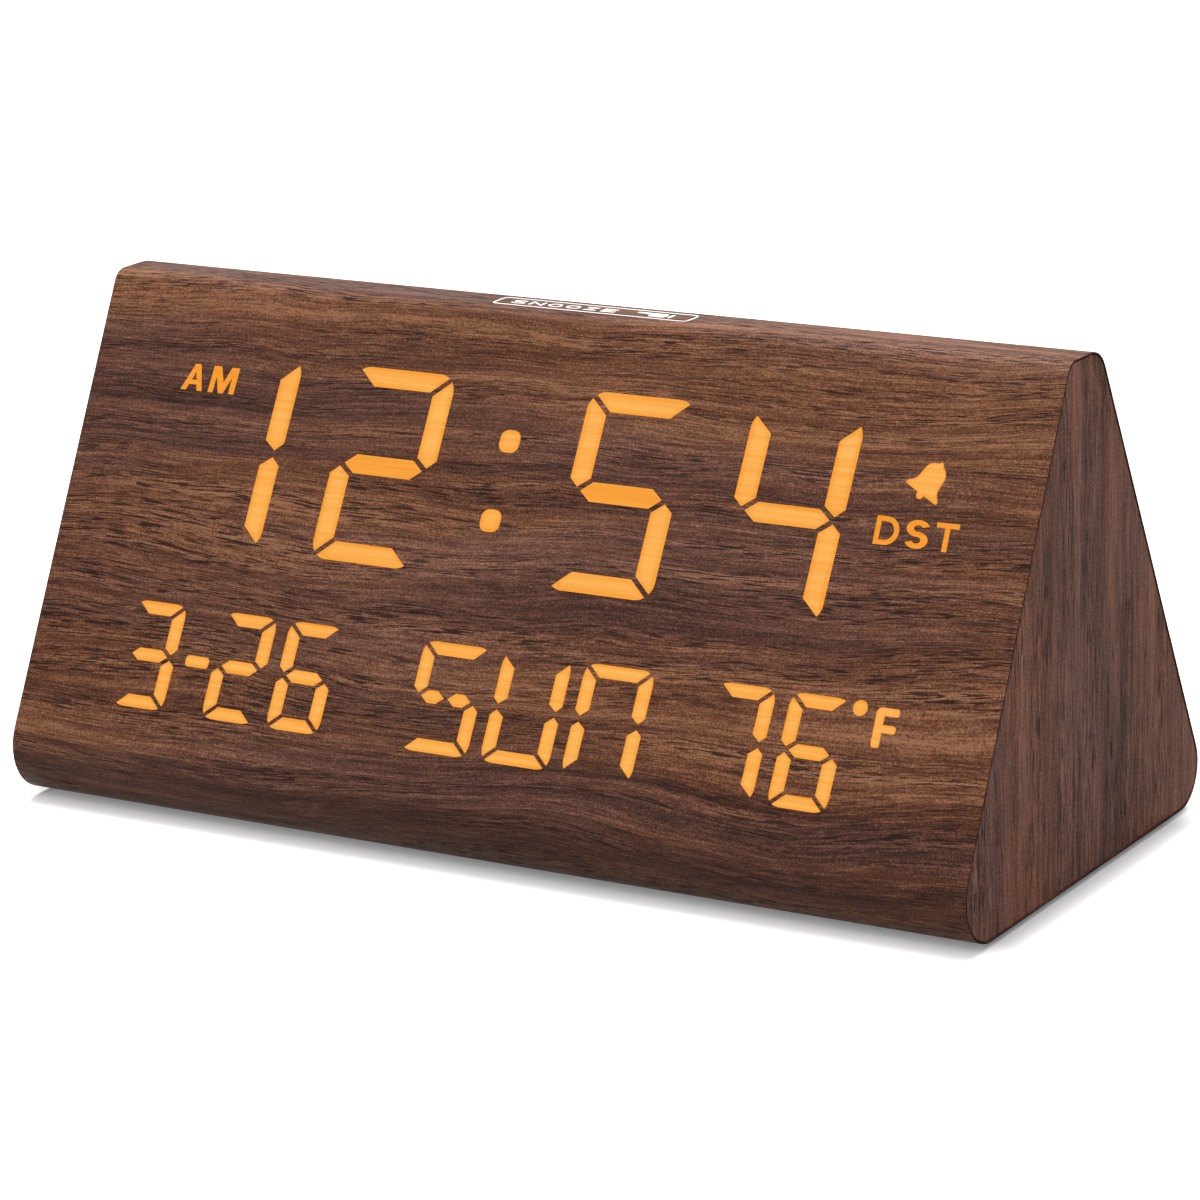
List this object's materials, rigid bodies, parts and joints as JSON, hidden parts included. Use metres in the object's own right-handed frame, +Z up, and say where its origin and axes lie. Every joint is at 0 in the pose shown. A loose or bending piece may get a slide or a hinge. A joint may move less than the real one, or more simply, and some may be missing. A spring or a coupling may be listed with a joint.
{
  "type": "digital alarm clock",
  "caption": "Wedge-shaped bedside alarm clock in dark walnut film; amber time, date, weekday and temperature shine through its sloped front, controls are on the rear.",
  "frame": {"origin": "middle of the footprint, on the table under the feet", "axes": "+X along the length to the right of the display, -Y out of the display side, +Z up"},
  "size_m": [0.2, 0.0958, 0.095],
  "materials": {
    "walnut_film": "satin printed wood-grain film, grain along the length",
    "walnut_end": "satin printed wood-grain film, upright grain",
    "fibreboard": "raw medium-density fibreboard",
    "rubber": "matte",
    "lit_amber": "film lit from behind",
    "diffuser": "milky sheet",
    "black_plastic": "fine moulded texture",
    "button_black": "smooth satin",
    "circuit_board": "solder mask",
    "led_resin": "clear resin",
    "steel": "plated",
    "black_steel": "black oxide",
    "chip_black": "moulded epoxy",
    "ivory_plastic": "plain",
    "grey_cable": "soft insulation",
    "copper": "copper foil",
    "blue_sleeve": "shrink sleeve",
    "brass": "rolled sheet",
    "piezo_ceramic": "silvered",
    "red_lead": "soft insulation"
  },
  "bodies": {
    "case": {"wood_film": "walnut_film", "front_board": "fibreboard", "rear_board": "fibreboard", "base_board": "fibreboard", "top_rail": "fibreboard", "end_panel_left": "walnut_end", "end_panel_right": "walnut_end", "rubber_feet": "rubber", "time_digits": "lit_amber", "date_digits": "lit_amber", "weekday_letters": "lit_amber", "temperature_digits": "lit_amber", "indicator_icons": "lit_amber", "diffuser_sheet": "diffuser", "display_mask": "black_plastic", "display_board": "circuit_board", "display_leds": "led_resin", "display_screws": "steel", "led_driver_chip": "chip_black", "display_connector": "ivory_plastic", "ribbon_cable": "grey_cable", "touch_electrode": "copper", "touch_lead": "copper", "rear_panel": "black_plastic", "panel_screws": "black_steel", "control_board": "circuit_board", "control_screws": "steel", "controller_chip": "chip_black", "quartz_crystal": "steel", "filter_capacitor": "blue_sleeve", "control_connector": "ivory_plastic", "switch_cases": "chip_black", "dimmer_pot": "blue_sleeve", "alarm_switch_case": "steel", "inlet_shell": "steel", "inlet_tongue": "chip_black", "sounder_disc": "brass", "sounder_ceramic": "piezo_ceramic", "sounder_leads": "red_lead", "temperature_sensor": "chip_black", "coin_cell": "steel", "cell_contact_minus": "steel", "cell_contact_plus": "steel"},
    "set_key": {"set_button": "button_black", "set_plunger": "ivory_plastic"},
    "alarm_key": {"alarm_button": "button_black", "alarm_plunger": "ivory_plastic"},
    "up_key": {"up_button": "button_black", "up_plunger": "ivory_plastic"},
    "down_key": {"down_button": "button_black", "down_plunger": "ivory_plastic"},
    "dimmer": {"dimmer_wheel": "button_black"},
    "alarm_slider": {"alarm_switch_knob": "ivory_plastic"},
    "cell_cover": {"battery_door": "black_plastic", "door_screw": "black_steel"}
  },
  "joints": [
    {"name": "set_key_press", "type": "slide", "parent": "case", "child": "set_key", "axis": [0, -0.895, -0.4461], "range_m": [0, 0.0005], "stiffness_N_per_m": 800, "springref_m": -0.0005},
    {"name": "alarm_key_press", "type": "slide", "parent": "case", "child": "alarm_key", "axis": [0, -0.895, -0.4461], "range_m": [0, 0.0005], "stiffness_N_per_m": 800, "springref_m": -0.0005},
    {"name": "up_key_press", "type": "slide", "parent": "case", "child": "up_key", "axis": [0, -0.895, -0.4461], "range_m": [0, 0.0005], "stiffness_N_per_m": 800, "springref_m": -0.0005},
    {"name": "down_key_press", "type": "slide", "parent": "case", "child": "down_key", "axis": [0, -0.895, -0.4461], "range_m": [0, 0.0005], "stiffness_N_per_m": 800, "springref_m": -0.0005},
    {"name": "dimmer_turn", "type": "hinge", "parent": "case", "child": "dimmer", "pos_m": [-0.024, 0.02053, 0.05099], "axis": [0, -0.4461, 0.895], "range_deg": [-135, 135]},
    {"name": "alarm_slide", "type": "slide", "parent": "case", "child": "alarm_slider", "axis": [-1, 0, 0], "range_m": [0, 0.004]},
    {"name": "cell_cover_lift", "type": "slide", "parent": "case", "child": "cell_cover", "axis": [0, 0.895, 0.4461], "range_m": [0, 0.02]}
  ]
}
